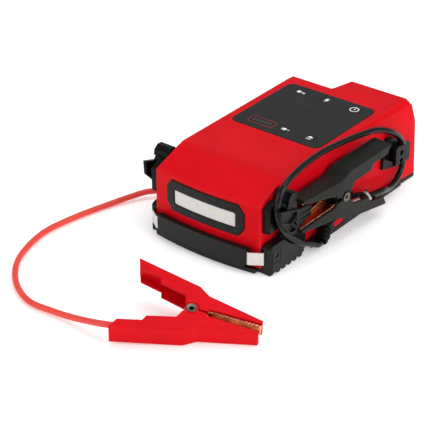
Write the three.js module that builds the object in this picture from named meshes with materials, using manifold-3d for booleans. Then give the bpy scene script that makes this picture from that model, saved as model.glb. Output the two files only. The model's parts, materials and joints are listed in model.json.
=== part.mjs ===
// Jump starter pack: a booster box with a lamp, a strap handle and two cable clamps.
// Millimetres, +Z up. The lamp and the handle face -Y. The origin is the middle of the box's
// footprint, on the ground. The black clamp is stowed on the +X side and the red one lies in front.
import * as THREE from 'three';
import { ConvexGeometry } from 'three/addons/geometries/ConvexGeometry.js';
import { mergeVertices } from 'three/addons/utils/BufferGeometryUtils.js';
import Module from 'manifold-3d';

const wasm = await Module();
wasm.setup();

// ---------------------------------------------------------------- driving dimensions

const GAP = 0.3; // clearance between neighbouring pieces
const FAR = 200; // reaches past the casing in any cut

const casing = {
  roofZ: 88,
  hoodFrontZ: 73, // top edge of the lamp face
  splitZ: 5.6, // seam between the red and the black casing
  bottomZ: 1,
  rearY: 132,
  frontY: -129.5, // lamp face on the centre line
  cornerY: -123.8, // lamp face at its two corners
  frontHalfWidth: 64,
  flare: 11.3, // how much wider each side is at the rear
  draft: 2, // how much wider each side is at the bottom
  roofHalfWidth: 63,
  wall: 2.8,
};
const hoodProfile = [[-83, 88], [-91, 85.8], [-103.5, 81.2], [-113, 77.4]]; // y, z down the hood
const rearSection = [[63, 88], [70.4, 83], [75.3, 66]]; // x, z round the roof edge at the rear
const hoodFieldDepth = 1.2;
const recess = { y: 104.3, x: -12.5, slant: 7, floorZ: 9 }; // stepped battery bay, rear left

const panel = { centreY: 36, width: 110, depth: 107.2, radius: 8, topZ: 88.4, thickness: 2 };
const keys = {
  width: 14,
  depth: 11,
  travel: 0.7,
  flange: 1.5, // retaining lip round each key, under the panel
  places: { power_button: [35, 77], jump_button: [0, 77], light_button: [35, -3] },
};
const displayWindow = { x: -24.5, y: -2.3, width: 27, depth: 9, radius: 2.2 };
const displayBoard = { topZ: 81.8, thickness: 1.6, halfWidth: 56, frontY: -14, rearY: 86 };
const screws = {
  places: [[-59, -119.5], [59, -119.5], [70.5, 126], [-69.5, 98]],
  headRadius: 3,
  shankRadius: 1.3,
  bossRadius: 4.2,
};
const feet = { places: [[-48, -104], [48, -104], [56, 108], [-56, 108]], radius: 8 };
const middlePadRadius = 11; // moulded under the tray's middle, level with the feet
const rail = {
  outerX: 79,
  bottomZ: 1.8,
  topZ: 16,
  lowTopZ: 6, // in front of the hump
  rearTopZ: 9,
  frontY: -57,
  humpY: -31,
  rearY: 104,
};
const railCatch = { y: -10.3, z: 10.7, width: 16.7, height: 6.5, outerX: 78.6 };

const lamp = {
  bezelHalfWidth: 48,
  bezelLow: 36,
  bezelHigh: 70,
  chamferX: 7,
  chamferZ: 9,
  lensHalfWidth: 38,
  lensLow: 44,
  lensHigh: 60,
  proud: 1.2,
  leds: 8,
  ledPitch: 8.4,
};

const handle = {
  gripHalfLength: 56,
  gripLow: 8,
  gripHigh: 28,
  gripFrontY: -137,
  gripBow: 3,
  gripThickness: 5.8,
  strapLow: 11.5,
  strapHigh: 25.5,
  strapThickness: 1.4,
  strapX: 70.4, // outer face of the strap beside the casing
  strapRearY: -86,
  travel: 14,
};
const block = {
  frontY: -123,
  rearY: -69,
  outerX: { left: 73.5, right: 78 },
  topZ: 32,
  waves: 5,
  wavePitch: 9,
  screwPlace: [-114, 21], // y, z
  screwRadius: 2.3,
};

const cable = { radius: 3.25, bootRadius: 7.4, bootEndRadius: 5.2, bootRibs: 6 };

const clamp = {
  halfWidth: 11,
  tipHalfWidth: 7.9,
  wall: 2.2,
  back: [[66, 5.5], [12.2, 18.5], [1.1, 27.4], [-63, 46.4]], // u, v from the jaw tip to the handle end
  front: [[-59.1, 35.5], [-37.2, 28.8], [-35.3, 22.5], [-9.6, 14.2], [-6.6, 5.1]], // handle end to pivot
  earRadius: 6.6,
  rivetRadius: 3,
  rivetHeadRadius: 5.1,
  linerStart: 10.5,
  teethStart: 16.5,
  throatEdge: 0.7, // how far each jaw's edge stays off the closing plane near the pivot
  teethEdge: 3.4, // and where the teeth start
  tipEdge: 2, // and at its tip
  toothPitch: 3.4,
  toothDepth: 1.8,
};

// ---------------------------------------------------------------- geometry helpers

/** Turns a closed three.js geometry into a solid that can be cut and joined. */
function solid(geometry) {
  const bare = geometry.clone();
  for (const name of Object.keys(bare.attributes)) {
    if (name !== 'position') bare.deleteAttribute(name);
  }
  const merged = mergeVertices(bare, 1e-4);
  const vertProperties = new Float32Array(merged.attributes.position.array);
  const triVerts = new Uint32Array(merged.index.array);
  return new wasm.Manifold(new wasm.Mesh({ numProp: 3, vertProperties, triVerts }));
}

/** Turns a solid back into a three.js geometry. */
function toGeometry(body) {
  const mesh = body.getMesh();
  const geometry = new THREE.BufferGeometry();
  geometry.setAttribute('position', new THREE.BufferAttribute(new Float32Array(mesh.vertProperties), 3));
  geometry.setIndex(new THREE.BufferAttribute(new Uint32Array(mesh.triVerts), 1));
  geometry.computeVertexNormals();
  return geometry;
}

function unite(bodies) {
  return bodies.reduce((sum, body) => sum.add(body));
}

function cut(body, tools) {
  return tools.reduce((rest, tool) => rest.subtract(tool), body);
}

function box(x, y, z) {
  const geometry = new THREE.BoxGeometry(x[1] - x[0], y[1] - y[0], z[1] - z[0]);
  geometry.translate((x[0] + x[1]) / 2, (y[0] + y[1]) / 2, (z[0] + z[1]) / 2);
  return solid(geometry);
}

function hull(points) {
  return solid(new ConvexGeometry(points.map(([x, y, z]) => new THREE.Vector3(x, y, z))));
}

/** Matrices that lay an extrusion's own x, y and depth along the named world axis. */
const extrudeFrames = {
  x: new THREE.Matrix4().makeBasis(axis(0, 1, 0), axis(0, 0, 1), axis(1, 0, 0)),
  y: new THREE.Matrix4().makeBasis(axis(1, 0, 0), axis(0, 0, 1), axis(0, -1, 0)),
  z: new THREE.Matrix4(),
};

function axis(x, y, z) {
  return new THREE.Vector3(x, y, z);
}

/** A straight prism of a shape, from low to high along an axis. The outline is in the other two. */
function prism(along, shape, low, high, curveSegments = 5) {
  const settings = { depth: high - low, bevelEnabled: false, curveSegments };
  const geometry = new THREE.ExtrudeGeometry(shape, settings);
  geometry.applyMatrix4(extrudeFrames[along]);
  const start = { x: [low, 0, 0], y: [0, high, 0], z: [0, 0, low] }[along];
  geometry.translate(...start);
  return solid(geometry);
}

function outline(points) {
  return new THREE.Shape(points.map(([x, y]) => new THREE.Vector2(x, y)));
}

function circle(x, y, radius) {
  const shape = new THREE.Shape();
  shape.absarc(x, y, radius, 0, 2 * Math.PI);
  return shape;
}

/** A rectangle with rounded corners, centred on x, y. */
function roundedRect(x, y, width, depth, radius) {
  const w = width / 2 - radius;
  const d = depth / 2 - radius;
  const shape = new THREE.Shape();
  shape.absarc(x + w, y + d, radius, 0, Math.PI / 2);
  shape.absarc(x - w, y + d, radius, Math.PI / 2, Math.PI);
  shape.absarc(x - w, y - d, radius, Math.PI, 1.5 * Math.PI);
  shape.absarc(x + w, y - d, radius, 1.5 * Math.PI, 2 * Math.PI);
  shape.closePath();
  return shape;
}

/** A round bar or hole along an axis, given by its centre in the other two axes. */
function rod(along, centre, radius, low, high, segments = 16) {
  return prism(along, circle(centre[0], centre[1], radius), low, high, segments);
}

/** A solid round tube swept along a smooth curve. */
function tube(points, radius, steps, sides) {
  const path = new THREE.CatmullRomCurve3(points, false, 'centripetal');
  const section = outline(
    Array.from({ length: sides }, (_, i) => {
      const angle = (2 * Math.PI * i) / sides;
      return [radius * Math.cos(angle), radius * Math.sin(angle)];
    }),
  );
  return solid(new THREE.ExtrudeGeometry(section, { steps, extrudePath: path, bevelEnabled: false }));
}

/** A body of revolution along +Z, moved to a start point and turned to a direction. */
function turned(profile, segments, start, direction) {
  const geometry = new THREE.LatheGeometry(profile.map(([r, z]) => new THREE.Vector2(r, z)), segments);
  const turn = new THREE.Quaternion().setFromUnitVectors(axis(0, 1, 0), direction.clone().normalize());
  geometry.applyQuaternion(turn);
  geometry.translate(start.x, start.y, start.z);
  return solid(geometry);
}

/** A post along Z at each of some places in plan. */
function posts(places, radius, low, high, segments) {
  return places.map((place) => rod('z', place, radius, low, high, segments));
}

/** A square block round a place in plan. */
function blockAt([x, y], half, low, high) {
  return box([x - half, x + half], [y - half, y + half], [low, high]);
}

/** A plan line moved sideways by offset, its corners mitred. */
function offsetLine(points, offset) {
  return points.map(([x, y], i) => {
    const [x0, y0] = points[Math.max(i - 1, 0)];
    const [x1, y1] = points[Math.min(i + 1, points.length - 1)];
    const before = new THREE.Vector2(x - x0, y - y0).normalize();
    const after = new THREE.Vector2(x1 - x, y1 - y).normalize();
    const mean = before.clone().add(after).normalize();
    const reach = offset / Math.max(mean.dot(before), mean.dot(after));
    return [x + mean.y * reach, y - mean.x * reach];
  });
}

function mirrored(body, side) {
  return side > 0 ? body : body.mirror([1, 0, 0]);
}

// ---------------------------------------------------------------- materials

function material(color, roughness, metalness = 0) {
  return new THREE.MeshStandardMaterial({ color, roughness, metalness });
}

const paints = {
  redShell: () => material(0xd8141c, 0.42),
  blackShell: () => material(0x1c1c1d, 0.6),
  panel: () => material(0x37383a, 0.55),
  key: () => material(0x37383a, 0.55),
  window: () => material(0x160a0c, 0.15),
  lens: () => material(0xe4e8e8, 0.08),
  white: () => material(0xe9e9e4, 0.5),
  board: () => material(0x1f5a36, 0.5),
  steel: () => material(0xcfcdc8, 0.3, 0.9),
  aluminium: () => material(0xb4b6b8, 0.4, 0.9),
  copper: () => material(0xc87a45, 0.35, 0.9),
  rubber: () => material(0x161616, 0.85),
  redCable: () => material(0xf0503c, 0.5),
  blackCable: () => material(0x151515, 0.45),
  redClamp: () => material(0xe01822, 0.4),
  blackClamp: () => material(0x2a2a2a, 0.5),
  foil: () => material(0x2b4a86, 0.35),
};

const group = new THREE.Group();

function addPiece(name, body, paint, parent = group) {
  const mesh = new THREE.Mesh(toGeometry(body), paint());
  mesh.name = name;
  parent.add(mesh);
  return mesh;
}

// ---------------------------------------------------------------- casing

/** Outer half-width of the casing's side wall at a place along it and a height. */
function sideX(y, z) {
  const along = (y - casing.cornerY) / (casing.rearY - casing.cornerY);
  const down = (casing.hoodFrontZ - z) / casing.hoodFrontZ;
  return casing.frontHalfWidth + casing.flare * along + casing.draft * down;
}

/** The lamp face's place, which bows forward on the centre line. */
function frontFaceY(x) {
  const bow = casing.cornerY - casing.frontY;
  return casing.frontY + bow * (x / casing.frontHalfWidth) ** 2;
}

/** The casing's outer form without openings, moved inwards by inset, down to lowZ. */
function casingForm(inset, lowZ) {
  const points = [];
  const frontSteps = 8;
  for (const side of [-1, 1]) {
    for (const [y, z] of hoodProfile) {
      points.push([side * (casing.roofHalfWidth - 0.6 * inset), y + 0.35 * inset, z - inset]);
    }
    for (const [x, z] of rearSection) {
      points.push([side * (x - 0.8 * inset), casing.rearY - inset, z - 0.8 * inset]);
    }
    points.push([side * (sideX(casing.rearY, lowZ) - inset), casing.rearY - inset, lowZ]);
  }
  for (const z of [casing.hoodFrontZ - 0.8 * inset, lowZ]) {
    const half = sideX(casing.cornerY, z);
    for (let i = 0; i <= frontSteps; i += 1) {
      const x = half * ((2 * i) / frontSteps - 1);
      const inward = x * (1 - inset / half);
      points.push([inward, frontFaceY(x) + inset, z]);
    }
  }
  return hull(points);
}

/** The stepped bay at the rear left, grown outwards by margin. */
function recessForm(margin, lowZ) {
  const y = recess.y - margin;
  const x = recess.x + margin;
  const rearX = x + recess.slant;
  const plan = [[-FAR, y], [x, y], [rearX, casing.rearY], [rearX, FAR], [-FAR, FAR]];
  return prism('z', outline(plan), lowZ, FAR);
}

/** The hood's shallow sunk field in front of the control panel, with gently sloping banks. */
function hoodField() {
  const bank = 5; // run of the banks for each unit of rise
  const over = 6; // height of the cutting form above the roof
  const run = bank * (hoodFieldDepth + over);
  const points = [];
  for (const side of [-1, 1]) {
    points.push([side * 46, -32, casing.roofZ - hoodFieldDepth]);
    points.push([side * (46 + run), run - 32, casing.roofZ + over]);
    points.push([side * 56, -80, casing.roofZ], [side * (56 + run), -80, casing.roofZ + over]);
  }
  return hull(points);
}

function lampOctagon(margin) {
  const half = lamp.bezelHalfWidth + margin;
  const low = lamp.bezelLow - margin;
  const high = lamp.bezelHigh + margin;
  const inX = half - lamp.chamferX;
  const inLow = low + lamp.chamferZ;
  const inHigh = high - lamp.chamferZ;
  return outline([
    [-inX, low], [inX, low], [half, inLow], [half, inHigh],
    [inX, high], [-inX, high], [-half, inHigh], [-half, inLow],
  ]);
}

function lensRect(margin) {
  const centreZ = (lamp.lensLow + lamp.lensHigh) / 2;
  const width = 2 * (lamp.lensHalfWidth + margin);
  const height = lamp.lensHigh - lamp.lensLow + 2 * margin;
  return roundedRect(0, centreZ, width, height, 2);
}

/** Middle line of the boot round a cable's way out of the casing. */
function bootPoints(side) {
  const points = [[62, -24, 16], [69, -27.5, 15.4], [76.5, -32.5, 13.6], [81.8, -40, 9.8], [83.9, -48, 7]];
  return points.map(([x, y, z]) => axis(side * x, y, z));
}

function exitBore(side) {
  return tube(bootPoints(side), cable.bootRadius + GAP, 12, 20);
}

/** Oval catch on the housing's side that shows through the tray's rail. */
function catchForm(margin, outerX, side) {
  const { y, z, width, height } = railCatch;
  const oval = roundedRect(y, z, width + 2 * margin, height + 2 * margin, height / 2 - 0.1);
  return mirrored(prism('x', oval, sideX(y, z) - 1, outerX), side);
}

function upperHousing() {
  const outer = cut(casingForm(0, casing.splitZ), [recessForm(0, recess.floorZ), hoodField()]);
  const inner = casingForm(casing.wall, casing.splitZ - 5);
  const cavity = inner.subtract(recessForm(casing.wall, -FAR));
  const { centreY, width, depth, radius, topZ, thickness } = panel;
  const ledge = 4;
  const seat = roundedRect(0, centreY, width + 2 * GAP, depth + 2 * GAP, radius + GAP);
  const opening = roundedRect(0, centreY, width - 2 * ledge, depth - 2 * ledge, radius);
  const bosses = posts(screws.places, screws.bossRadius, casing.splitZ, 40, 10);
  const boardPosts = posts(boardPlaces(), 2.6, displayBoard.topZ + GAP, casing.roofZ - 2, 8);
  const shell = unite([outer.subtract(cavity), ...bosses, ...boardPosts]).intersect(outer);
  const catches = [1, -1].map((side) => catchForm(0, railCatch.outerX, side));
  return cut(unite([shell, ...catches]), [
    prism('z', seat, topZ - thickness - GAP, FAR),
    prism('z', opening, 40, FAR),
    prism('y', lampOctagon(GAP), -FAR, -100),
    exitBore(1),
    exitBore(-1),
    ...posts(screws.places, screws.shankRadius + GAP, 0, 30, 8),
  ]);
}

function boardPlaces() {
  const x = displayBoard.halfWidth - 2.5;
  return [[-x, -10], [x, -10], [x, 82], [-x, 82]];
}

/** The tray's front lip under the handle, following the lamp face. */
function trayLip(topZ) {
  const halfWidth = 62;
  const proud = 4.5;
  const steps = 8;
  const points = [[-halfWidth, -120], [halfWidth, -120]];
  for (let i = 0; i <= steps; i += 1) {
    const x = halfWidth * (1 - (2 * i) / steps);
    points.push([x, frontFaceY(x) - proud]);
  }
  return prism('z', outline(points), casing.bottomZ, topZ);
}

/** The tray's long side rail, outside the housing's wall. */
function sideRail(side) {
  const { outerX, bottomZ, topZ, lowTopZ, rearTopZ, frontY, humpY, rearY } = rail;
  const sideView = [
    [frontY, bottomZ], [frontY, lowTopZ], [humpY, lowTopZ], [humpY, topZ - 3], [humpY + 4, topZ],
    [25, topZ], [60, rearTopZ], [rearY, rearTopZ], [rearY, bottomZ],
  ];
  const bar = prism('x', outline(sideView), 60, outerX);
  const topEdge = [[outerX - 2, topZ + 1], [outerX + 1, topZ + 1], [outerX + 1, topZ - 2]];
  const chamfer = prism('y', outline(topEdge), -FAR, FAR);
  return mirrored(cut(bar, [casingForm(-GAP, casing.splitZ - GAP), casingForm(1, 0), chamfer]), side);
}

function baseTray() {
  const floorTop = 3.5;
  const seam = casing.splitZ - GAP;
  const everywhere = [-FAR, FAR];
  const slab = box(everywhere, everywhere, [casing.bottomZ, seam]);
  const outer = casingForm(0, casing.bottomZ).intersect(slab);
  const overFloor = box(everywhere, everywhere, [floorTop, FAR]);
  const inner = casingForm(casing.wall, casing.bottomZ).intersect(overFloor);
  const bayShelf = box([-FAR, recess.x], [recess.y, FAR], [casing.bottomZ, seam]).intersect(outer);
  const boardStands = posts([[-44, -24], [44, -24], [44, 70], [-44, 70]], 3.5, 2, 11.7, 8);
  const lip = trayLip(seam).subtract(inner);
  const rails = [sideRail(1), sideRail(-1)];
  const middlePad = rod('z', [0, 0], middlePadRadius, 0, floorTop, 24);
  const shell = unite([outer.subtract(inner), bayShelf, lip, middlePad]);
  const body = unite([shell, capacitorCradle(), ...boardStands, ...rails]);
  return cut(body, [
    ...posts(screws.places, screws.shankRadius + 2 * GAP, 0, 10, 8),
    ...posts(screws.places, screws.headRadius + 2 * GAP, 0, 2.6, 12),
    ...posts(feet.places, feet.radius + GAP, 0, casing.bottomZ + 0.8, 16),
    ...[1, -1].map((side) => catchForm(GAP, rail.outerX + 1, side)),
    exitBore(1),
    exitBore(-1),
  ]);
}

function addCasing() {
  addPiece('upper_housing', upperHousing(), paints.redShell);
  addPiece('base_tray', baseTray(), paints.blackShell);
  const corner = ['front_left', 'front_right', 'rear_right', 'rear_left'];
  posts(feet.places, feet.radius, 0, casing.bottomZ + 0.5, 16).forEach((pad, i) => {
    addPiece(`foot_${corner[i]}`, pad, paints.rubber);
  });
  const heads = posts(screws.places, screws.headRadius, 1.1, 2.3, 12);
  posts(screws.places, screws.shankRadius, 2, 22, 8).forEach((shank, i) => {
    addPiece(`casing_screw_${corner[i]}`, heads[i].add(shank), paints.steel);
  });
}

// ---------------------------------------------------------------- control panel

function keyShape(place, margin) {
  return roundedRect(place[0], place[1], keys.width + 2 * margin, keys.depth + 2 * margin, 2.5);
}

function windowShape(margin) {
  const { x, y, width, depth, radius } = displayWindow;
  return roundedRect(x, y, width + 2 * margin, depth + 2 * margin, radius);
}

function controlPanel() {
  const { centreY, width, depth, radius, topZ, thickness } = panel;
  const plate = prism('z', roundedRect(0, centreY, width, depth, radius), topZ - thickness, topZ);
  const keyHoles = Object.values(keys.places).map((place) => prism('z', keyShape(place, GAP), 80, FAR, 3));
  return cut(plate, [...keyHoles, prism('z', windowShape(GAP), 80, FAR, 3)]);
}

function key(place) {
  const under = panel.topZ - panel.thickness;
  const cap = prism('z', keyShape(place, 0), under - 1, panel.topZ, 3);
  const lip = prism('z', keyShape(place, keys.flange), under - GAP - 1.2, under - GAP, 3);
  const stem = rod('z', place, 2, displayBoard.topZ + 1.6 + keys.travel + GAP, under - 1, 10);
  return unite([cap, lip, stem]);
}

function displayBoardBody() {
  const { topZ, thickness, halfWidth, frontY, rearY } = displayBoard;
  const sheet = box([-halfWidth, halfWidth], [frontY, rearY], [topZ - thickness, topZ]);
  const switches = Object.values(keys.places).map((place) => blockAt(place, 3, topZ - 0.5, topZ + 1.6));
  const display = prism('z', windowShape(-2), topZ - 0.5, topZ + 1, 3);
  return unite([sheet, display, ...switches]);
}

function addPanel() {
  addPiece('control_panel', controlPanel(), paints.panel);
  const window = prism('z', windowShape(0), displayBoard.topZ + 1 + GAP, panel.topZ - 0.1, 3);
  addPiece('display_window', window, paints.window);
  for (const [name, place] of Object.entries(keys.places)) addPiece(name, key(place), paints.key);
  addPiece('display_board', displayBoardBody(), paints.board);
}

// ---------------------------------------------------------------- work lamp

/** A skin that follows the casing's front, from one depth below its surface to another. */
function frontSkin(outerInset, innerInset) {
  return casingForm(outerInset, casing.splitZ).subtract(casingForm(innerInset, 0));
}

const reflector = {
  halfWidth: 37,
  frontY: casing.cornerY + 2.2,
  depth: 14,
  low: 44.8,
  high: 59.2,
  wall: 1.5,
};

function ledPlaces() {
  return Array.from({ length: lamp.leds }, (_, i) => lamp.ledPitch * (i - (lamp.leds - 1) / 2));
}

function lampReflector() {
  const { halfWidth, frontY, depth, low, high, wall } = reflector;
  const rearY = frontY + depth;
  const middle = (low + high) / 2;
  const tray = box([-halfWidth, halfWidth], [frontY, rearY], [low, high]);
  const insideX = [wall - halfWidth, halfWidth - wall];
  const hollow = box(insideX, [-FAR, rearY - wall], [low + wall, high - wall]);
  const windows = ledPlaces().map((x) => box([x - 2, x + 2], [-FAR, FAR], [middle - 2, middle + 2]));
  return cut(tray, [hollow, ...windows]);
}

function lampBoard() {
  const { halfWidth, frontY, depth, low, high } = reflector;
  const y = frontY + depth + GAP;
  const middle = (low + high) / 2;
  const board = box([-halfWidth - 3, halfWidth + 3], [y, y + 1.6], [low - 2, high + 2]);
  const chipZ = [middle - 1.5, middle + 1.5];
  const chips = ledPlaces().map((x) => box([x - 1.5, x + 1.5], [y - 1.5, y + 1], chipZ));
  return unite([board, ...chips]);
}

function addLamp() {
  const skirt = 6;
  const ring = prism('y', lampOctagon(0), -FAR, -100).intersect(frontSkin(-lamp.proud, skirt));
  addPiece('light_bezel', ring.subtract(prism('y', lensRect(GAP), -FAR, -90)), paints.blackShell);
  const lens = prism('y', lensRect(0), -FAR, -100).intersect(frontSkin(0.2, 2.2));
  addPiece('light_lens', lens, paints.lens);
  addPiece('light_reflector', lampReflector(), paints.white);
  addPiece('light_board', lampBoard(), paints.board);
}

// ---------------------------------------------------------------- battery bay and insides

function batteryDock() {
  const face = recess.y + GAP;
  const plate = box([-66, -16], [face, face + 4], [recess.floorZ + 1, 78]);
  const rails = [-1, 1].map((side) => {
    const x = -41 + side * 19;
    const web = box([x - 2, x + 2], [face + 3, face + 11], [recess.floorZ + 6, 70]);
    const flange = box([x - 5, x + 5], [face + 10, face + 13], [recess.floorZ + 6, 70]);
    return web.add(flange);
  });
  const stop = box([-60, -22], [face + 3, face + 10], [recess.floorZ + 1, recess.floorZ + 5]);
  const slots = [-11, 0, 11].map((dx) => box([-41 + dx - 1, -41 + dx + 1], [face - 1, FAR], [24, 46]));
  return cut(unite([plate, ...rails, stop]), slots);
}

function contactBlock() {
  const rear = recess.y - casing.wall - GAP;
  return box([-58, -24], [rear - 12, rear], [18, 52]);
}

function capacitorPlaces() {
  return [-36, 0, 36];
}

const bank = { radius: 16, centreZ: 33, frontY: -100, rearY: -38 };

function capacitorCradle() {
  const cradle = box([-56, 56], [bank.frontY + 8, bank.rearY - 8], [3, bank.centreZ - 6]);
  const cans = capacitorPlaces().map((x) => rod('y', [x, bank.centreZ], bank.radius + GAP, -FAR, FAR, 18));
  return cut(cradle, cans);
}

function heatSink() {
  const base = box([-42, 8], [2, 58], [14, 19]);
  const finPitch = 6.85;
  const fins = Array.from({ length: 8 }, (_, i) => {
    const x = -42 + i * finPitch;
    return box([x, x + 2], [2, 58], [18, 40]);
  });
  return unite([base, ...fins]);
}

/** A flat bar from the capacitor bank's end to the cable's way out. */
function busBar(side) {
  const points = [[8, -34], [56, -34], [60, -29], [60, -22], [58, -22], [58, -28.2], [55.2, -32], [8, -32]];
  return prism('z', outline(points.map(([x, y]) => [side * x, y])), 24, 38);
}

function addInsides() {
  addPiece('battery_dock', batteryDock(), paints.blackShell);
  addPiece('battery_contact_block', contactBlock(), paints.blackShell);
  const board = box([-52, 52], [-28, 76], [12, 13.6]);
  addPiece('main_board', board, paints.board);
  addPiece('power_relay', box([18, 46], [-18, 14], [13.9, 42]), paints.blackShell);
  addPiece('heat_sink', heatSink(), paints.aluminium);
  capacitorPlaces().forEach((x, i) => {
    const can = rod('y', [x, bank.centreZ], bank.radius, bank.frontY, bank.rearY, 20);
    addPiece(`super_capacitor_${i + 1}`, can, paints.foil);
  });
  addPiece('positive_bus_bar', busBar(-1), paints.copper);
  addPiece('negative_bus_bar', busBar(1), paints.copper);
}

// ---------------------------------------------------------------- strap handle and corner blocks

/** The strap's middle line in plan: round the grip's bow, across each corner and straight back. */
function strapLine(rearY) {
  const { gripHalfLength, strapX, strapThickness } = handle;
  const midY = -134.1;
  const endY = -132.6;
  const cornerY = -124.8;
  const x = strapX - strapThickness / 2;
  const steps = 4;
  const right = [];
  for (let i = 0; i <= steps; i += 1) {
    const t = i / steps;
    right.push([gripHalfLength * t, midY + (endY - midY) * t * t]);
  }
  right.push([gripHalfLength + 2, endY], [x, cornerY], [x, rearY]);
  const left = right.slice(1).reverse().map(([px, py]) => [-px, py]);
  return [...left, ...right];
}

/** A closed plan outline of the strap, or of the slot it runs in. */
function strapOutline(halfThickness, rearY = handle.strapRearY) {
  const line = strapLine(rearY);
  return outline([...offsetLine(line, halfThickness), ...offsetLine(line, -halfThickness).reverse()]);
}

function handleGrip() {
  const { gripHalfLength, gripLow, gripHigh, gripFrontY, gripBow, gripThickness } = handle;
  const steps = 8;
  const front = [];
  const rear = [];
  for (let i = 0; i <= steps; i += 1) {
    const t = (2 * i) / steps - 1;
    front.push([gripHalfLength * t, gripFrontY + gripBow * t * t]);
    rear.push([gripHalfLength * t, gripFrontY + gripThickness + (gripBow + 1) * t * t]);
  }
  const bar = prism('z', outline([...front, ...rear.reverse()]), gripLow, gripHigh);
  const corner = 5;
  const notches = [-1, 1].map((side) => {
    const end = side * (gripHalfLength + 1);
    const inner = side * (gripHalfLength - corner);
    const triangle = [[end, gripLow - 1], [end, gripLow + corner], [inner, gripLow - 1]];
    return prism('y', outline(triangle), -FAR, -100);
  });
  const { strapThickness, strapLow, strapHigh } = handle;
  const slot = prism('z', strapOutline(strapThickness / 2 + GAP), strapLow - GAP, strapHigh + GAP);
  return cut(bar, [...notches, slot]);
}

function handleStrap() {
  return prism('z', strapOutline(handle.strapThickness / 2), handle.strapLow, handle.strapHigh);
}

/** Side view of a corner block: front edge, sloping top and scalloped foot. */
function blockSide() {
  const { frontY, rearY, topZ, waves, wavePitch } = block;
  const low = 0.5;
  const crest = 4;
  const front = [[frontY, low], [frontY, topZ - 3], [frontY + 5, topZ]];
  const points = [...front, [-100, topZ], [-94, 25.5], [-88, 21.5], [rearY, 16], [rearY, crest]];
  for (let i = 0; i < waves; i += 1) {
    const y = rearY - 2 - i * wavePitch;
    points.push([y, crest], [y - 2, low], [y - 6, low], [y - 8, crest]);
  }
  return outline(points);
}

/** Corner block that the strap runs into, with a thin plate that carries on along the wall. */
function sideBlock(word, side) {
  const { frontY, screwPlace, screwRadius } = block;
  const outerX = block.outerX[word];
  const plateView = [[-100, 0.5], [-100, 34], [-70, 33], [-58, 24], [-58, 0.5]];
  const wallPlate = prism('x', outline(plateView), 60, 71.5);
  const body = prism('x', blockSide(), 60, outerX).add(wallPlate);
  const shoulder = prism('y', outline([[outerX + 1, 20], [outerX + 1, 60], [outerX - 7, 60]]), -FAR, 0);
  const nose = [[outerX - 2, frontY - 1], [outerX + 1, frontY - 1], [outerX + 1, frontY + 5]];
  const { strapThickness, strapLow, strapHigh, strapRearY } = handle;
  const slotOutline = strapOutline(strapThickness / 2 + GAP, strapRearY + 4);
  const grooveOuter = box([outerX - 0.6, outerX + 1], [-121, -108], [13, 29]);
  const grooveInner = box([0, FAR], [-120.2, -108.8], [13.8, 28.2]);
  return mirrored(cut(body, [
    casingForm(-GAP, 0),
    shoulder,
    prism('z', outline(nose), -1, 60),
    prism('z', slotOutline, strapLow - GAP, strapHigh + GAP),
    rod('x', screwPlace, screwRadius + 0.5, outerX - 3, outerX + 5, 12),
    grooveOuter.subtract(grooveInner),
  ]), side);
}

function addHandle() {
  addPiece('handle_grip', handleGrip(), paints.blackShell);
  addPiece('handle_strap', handleStrap(), paints.steel);
  for (const [word, side] of [['left', -1], ['right', 1]]) {
    addPiece(`side_block_${word}`, sideBlock(word, side), paints.blackShell);
    const outerX = block.outerX[word];
    const screw = rod('x', block.screwPlace, block.screwRadius, outerX - 2.6, outerX - 0.9, 12);
    addPiece(`side_block_screw_${word}`, mirrored(screw, side), paints.steel);
  }
}

// ---------------------------------------------------------------- cable cleats

/** Side views, in y and z, of the front cleat's layers from the casing outwards. */
const frontCleatViews = {
  plate: [[-120, 44], [-120, 70], [-112, 74], [-90, 76], [-74, 66], [-74, 44]],
  spool: [[-101, 46], [-104, 52], [-105, 70], [-101, 76], [-89, 76], [-89, 45]],
  horn: [[-104, 74], [-103, 80], [-98, 84], [-92, 83.6], [-89, 79], [-89, 74]],
  flange: [[-118.5, 73], [-117.5, 57.5], [-101.5, 40.5], [-94, 39.5], [-90, 45], [-90.5, 64]],
  post: [[-92, 41.5], [-92, 63.5], [-68, 59], [-68, 47.5]],
  web: [-101, 52],
  webEnds: [[-118, 60], [-91, 42], [-91, 58]],
  hub: [-95.3, 51],
};

/** A narrow straight bar in side view, from one point to another. */
function barView([y1, z1], [y2, z2], halfThickness) {
  const length = Math.hypot(y2 - y1, z2 - z1);
  const dy = (-(z2 - z1) / length) * halfThickness;
  const dz = ((y2 - y1) / length) * halfThickness;
  return outline([[y1 + dy, z1 + dz], [y1 - dy, z1 - dz], [y2 - dy, z2 - dz], [y2 + dy, z2 + dz]]);
}

/** A side view drawn in towards a point. */
function drawnIn(points, [cy, cz], factor) {
  return points.map(([y, z]) => [cy + (y - cy) * factor, cz + (z - cz) * factor]);
}

/** Front cleat: base plate, spool that the cable wraps round, webbed outer flange, jaw post. */
function frontCleat(side) {
  const { plate, spool, horn, flange, post, web, webEnds, hub } = frontCleatViews;
  const [low, high] = [82.3, 85.8];
  const disc = prism('x', outline(flange), low, high);
  const pocket = prism('x', outline(drawnIn(flange, [-103, 56], 0.82)), low + 0.9, high + 1);
  const webs = webEnds.map((end) => prism('x', barView(web, end, 0.8), low, high - 0.3).intersect(disc));
  const body = unite([
    prism('x', outline(plate), 60, 72.6),
    box([60, 73.8], [-120, -110], [45, 69]),
    prism('x', outline(spool), 60, 83),
    prism('x', outline(horn), 66, 84),
    prism('x', outline(post), 66, 85),
    disc.subtract(pocket),
    rod('x', hub, 3.4, low, high - 0.2, 12),
    ...webs,
  ]);
  const hubHole = rod('x', hub, 2, low + 0.9, high + 1, 10);
  const grooves = [50, 55.5].map((z) => box([84, 90], [-87, -60], [z - 0.5, z + 0.5]));
  return mirrored(cut(body, [casingForm(-GAP, 0), hubHole, ...grooves]), side);
}

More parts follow.
